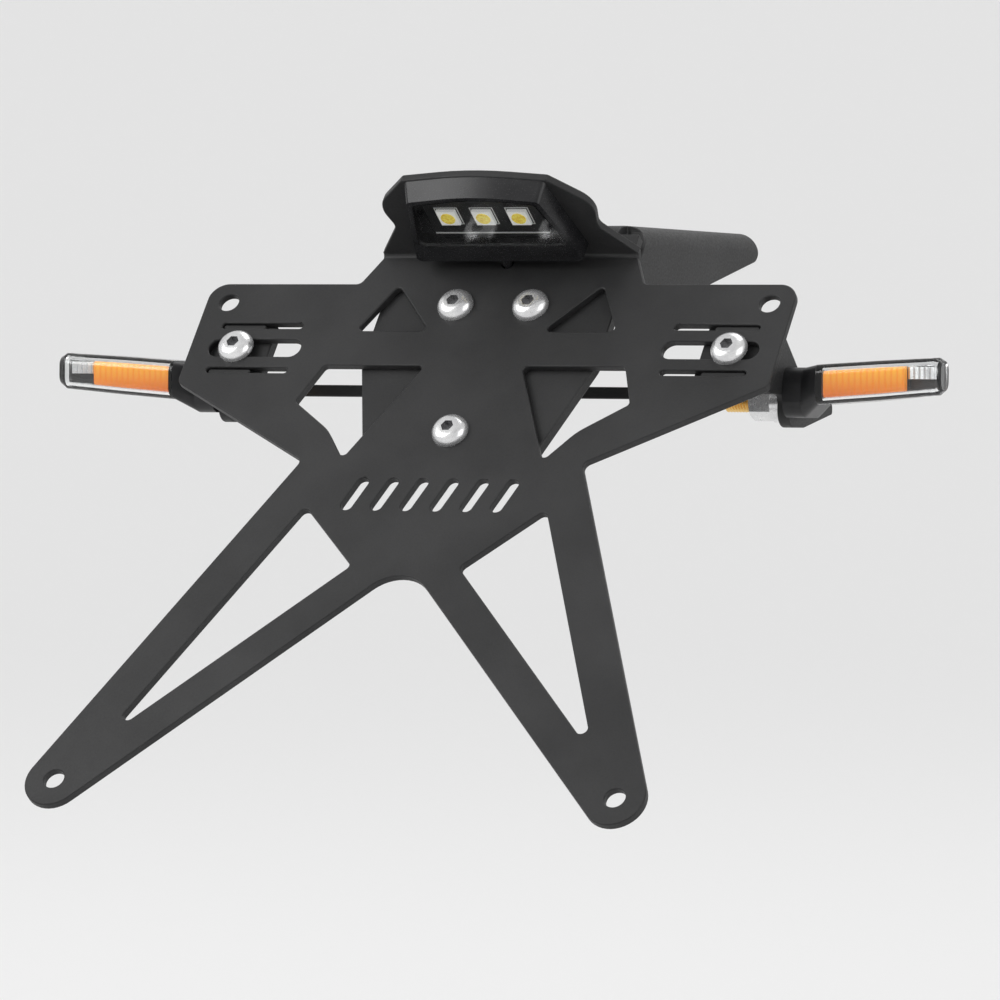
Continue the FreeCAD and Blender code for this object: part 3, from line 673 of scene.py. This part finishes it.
def ribbedHighlightInsert():
    amberLow, amberHigh = [Vector(corner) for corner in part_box("right_indicator_amber_lens")]
    coverHigh = Vector(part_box("right_indicator_clear_cover")[1])
    left, right = amberHigh.x + tipHighlightInsert["gap"], coverHigh.x - tipHighlightInsert["endWall"]
    top = amberHigh.z - tipHighlightInsert["drop"]
    rear, front = amberLow.y + tipHighlightInsert["setback"], amberLow.y + tipHighlightInsert["shellInner"]
    size = Vector((right - left, front - rear, tipHighlightInsert["height"]))
    middle = Vector(((left + right) / 2, (rear + front) / 2, top - size.z / 2))
    startFresh()
    bpy.ops.mesh.primitive_cube_add(size=1, location=middle, scale=size)
    highlightInsert = bpy.context.object
    highlightInsert.name = "right_tip_highlight_insert"
    bpy.ops.object.transform_apply(location=True, rotation=True, scale=True)
    # the front follows the slanted shell
    pickPoints(highlightInsert, lambda co: co.x > middle.x and co.y > middle.y)
    slant = tipHighlightInsert["shellOuter"] - tipHighlightInsert["shellInner"]
    bpy.ops.transform.translate(value=(0, slant, 0))
    cuts = 2 * tipHighlightInsert["ribs"]
    ribHalf = size.x / cuts
    for i in range(1, cuts):
        cutMesh((left + size.x * i / cuts, 0, 0), (1, 0, 0))
    objectMode()
    # every second line of the rear face is a groove
    pickPoints(highlightInsert, lambda co: (co.y < rear + ribHalf / 2
                                      and round((co.x - left) / ribHalf) % 2 == 0))
    bpy.ops.transform.translate(value=(0, tipHighlightInsert["ribDepth"], 0))
    objectMode()
    softened = highlightInsert.modifiers.new("soft edges", "BEVEL")
    softened.width = tipHighlightInsert["edge"]
    softened.segments = tipHighlightInsert["edgeSegments"]
    applyAll(highlightInsert)
    # painted highlight: the bright zinc insert stands in for the highlight band on the tip
    highlightInsert.data.materials.append(finishes["zinc_steel"])
    pickOnly(highlightInsert)
    bpy.ops.object.duplicate()
    twin = bpy.context.object
    twin.name = "left_tip_highlight_insert"
    editMode(twin)
    bpy.ops.mesh.select_all(action="SELECT")
    bpy.ops.transform.resize(value=(-1, 1, 1), center_override=(0, 0, 0))
    bpy.ops.mesh.normals_make_consistent(inside=False)
    objectMode()
    for piece in (highlightInsert, twin):
        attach(piece, "root")
        print(piece.name, "ribbed,", len(piece.data.polygons), "faces")


ribbedHighlightInsert()


# stage: one pale sheet, flat below the part and curved up all round it
stageSize = {
    "drop": 0.07,
    "radius": 4.6,
    "curve": 1.4,
    "height": 3.2,
    "steps": 96,
    "curveSteps": 16,
    "paper": (0.86, 0.86, 0.86, 1),
    "tone": (0.86, 0.86, 0.86, 1),
    "evenness": 0.75,
    "roughness": 0.9,
}


def paperMaterial():
    # pale paper that looks evenly bright to the camera, in the metal and through the clear pieces
    sockets = {"Roughness": stageSize["roughness"], "Base Color": stageSize["paper"]}
    material, tree, shader = startMaterial("pale studio paper", sockets)
    path = tree.nodes.new("ShaderNodeLightPath")
    seen = path.outputs["Is Camera Ray"]
    for ray in ("Is Glossy Ray", "Is Transmission Ray"):
        seen = calc(tree, "MAXIMUM", seen, path.outputs[ray])
    glow = tree.nodes.new("ShaderNodeEmission")
    glow.inputs["Color"].default_value = stageSize["tone"]
    mix = tree.nodes.new("ShaderNodeMixShader")
    tree.links.new(calc(tree, "MULTIPLY", seen, stageSize["evenness"]), mix.inputs["Fac"])
    tree.links.new(shader.outputs["BSDF"], mix.inputs[1])
    tree.links.new(glow.outputs["Emission"], mix.inputs[2])
    # seen from outside or below, the sheet is clear and the part still shows
    side = tree.nodes.new("ShaderNodeNewGeometry")
    clear = tree.nodes.new("ShaderNodeBsdfTransparent")
    outside = tree.nodes.new("ShaderNodeMixShader")
    tree.links.new(side.outputs["Backfacing"], outside.inputs["Fac"])
    tree.links.new(mix.outputs["Shader"], outside.inputs[1])
    tree.links.new(clear.outputs["BSDF"], outside.inputs[2])
    tree.links.new(outside.outputs["Shader"], tree.nodes["Material Output"].inputs["Surface"])
    return material


def paleStage():
    floorZ = cadBox[0][2] - stageSize["drop"]
    curve, curveSteps = stageSize["curve"], stageSize["curveSteps"]
    reach = flat = stageSize["radius"] - curve
    startFresh()
    bpy.ops.mesh.primitive_circle_add(
        vertices=stageSize["steps"], radius=flat, fill_type="NGON", location=(0, 0, floorZ))
    sheet = bpy.context.object
    sheet.name = "pale_stage"
    editMode(sheet)
    bpy.ops.mesh.select_mode(type="EDGE")
    bpy.ops.mesh.select_all(action="SELECT")
    bpy.ops.mesh.region_to_loop()
    for step in range(1, curveSteps + 1):
        before = (step - 1) / curveSteps * math.pi / 2
        angle = step / curveSteps * math.pi / 2
        wider = flat + curve * math.sin(angle)
        rise = curve * (math.cos(before) - math.cos(angle))
        bpy.ops.mesh.extrude_edges_move(TRANSFORM_OT_translate={"value": (0, 0, rise)})
        bpy.ops.transform.resize(value=(wider / reach, wider / reach, 1), center_override=(0, 0, 0))
        reach = wider
    wall = stageSize["height"] - curve
    bpy.ops.mesh.extrude_edges_move(TRANSFORM_OT_translate={"value": (0, 0, wall)})
    bpy.ops.mesh.select_all(action="SELECT")
    bpy.ops.mesh.normals_make_consistent(inside=True)
    objectMode()
    bpy.ops.object.transform_apply(location=True, rotation=True, scale=True)
    bpy.ops.object.shade_smooth()
    sheet.data.materials.append(paperMaterial())
    print("stage ready")


paleStage()


# soft light from large lamps and a pale sky
lamps = {
    "key_lamp": {"azimuth": -46, "elevation": 32, "distance": 1.2, "size": 0.8, "power": 7.2},
    "fill_lamp": {"azimuth": 70, "elevation": 16, "distance": 1.6, "size": 1.1, "power": 6.2},
    "top_lamp": {"azimuth": 170, "elevation": 70, "distance": 1.6, "size": 1.0, "power": 8},
}
skyStrength = {"light": 0.62, "seen": 0.72}


def around(azimuth, elevation, reach):
    a, e = math.radians(azimuth), math.radians(elevation)
    return reach * Vector((math.sin(a) * math.cos(e), -math.cos(a) * math.cos(e), math.sin(e)))


def lightUp(target):
    for name, lamp in lamps.items():
        data = bpy.data.lights.new(name, "AREA")
        data.size = lamp["size"]
        data.energy = lamp["power"]
        thing = bpy.data.objects.new(name, data)
        bpy.context.scene.collection.objects.link(thing)
        thing.location = target + around(lamp["azimuth"], lamp["elevation"], lamp["distance"])
        thing.rotation_euler = (thing.location - target).to_track_quat("Z", "Y").to_euler()
    world = bpy.data.worlds.new("pale sky")
    bpy.context.scene.world = world
    world.use_nodes = True
    tree = world.node_tree
    sky = tree.nodes["Background"]
    sky.inputs["Color"].default_value = (1, 1, 1, 1)
    # the camera sees the sky in the paper's tone, and the part is lit by less
    seen = tree.nodes.new("ShaderNodeLightPath").outputs["Is Camera Ray"]
    strength = spread(tree, seen, skyStrength["light"], skyStrength["seen"], 0, 1)
    tree.links.new(strength, sky.inputs["Strength"])
    print("lamps on")


# camera at the photo's viewing angle, aimed at the part
shot = {
    "target": (6.6 * mm, -70 * mm, -69.5 * mm),
    "azimuth": 24.7,
    "elevation": 0.7,
    "roll": 0.54,
    "distance": 1.75,
    "lens": 251.5,
    "sensor": 36,
    "clipEnd": 50,
}


def takeShot():
    data = bpy.data.cameras.new("shot")
    data.lens = shot["lens"]
    data.sensor_width = shot["sensor"]
    data.clip_end = shot["clipEnd"]
    camera = bpy.data.objects.new("shot", data)
    bpy.context.scene.collection.objects.link(camera)
    target = Vector(shot["target"])
    camera.location = target + around(shot["azimuth"], shot["elevation"], shot["distance"])
    aim = (camera.location - target).to_track_quat("Z", "Y").to_matrix()
    roll = Matrix.Rotation(math.radians(shot["roll"]), 3, "Z")
    camera.rotation_euler = (aim @ roll).to_euler()
    bpy.context.scene.camera = camera
    bpy.context.scene.view_settings.view_transform = "Standard"
    print("camera set")


lightUp(Vector(shot["target"]))
takeShot()
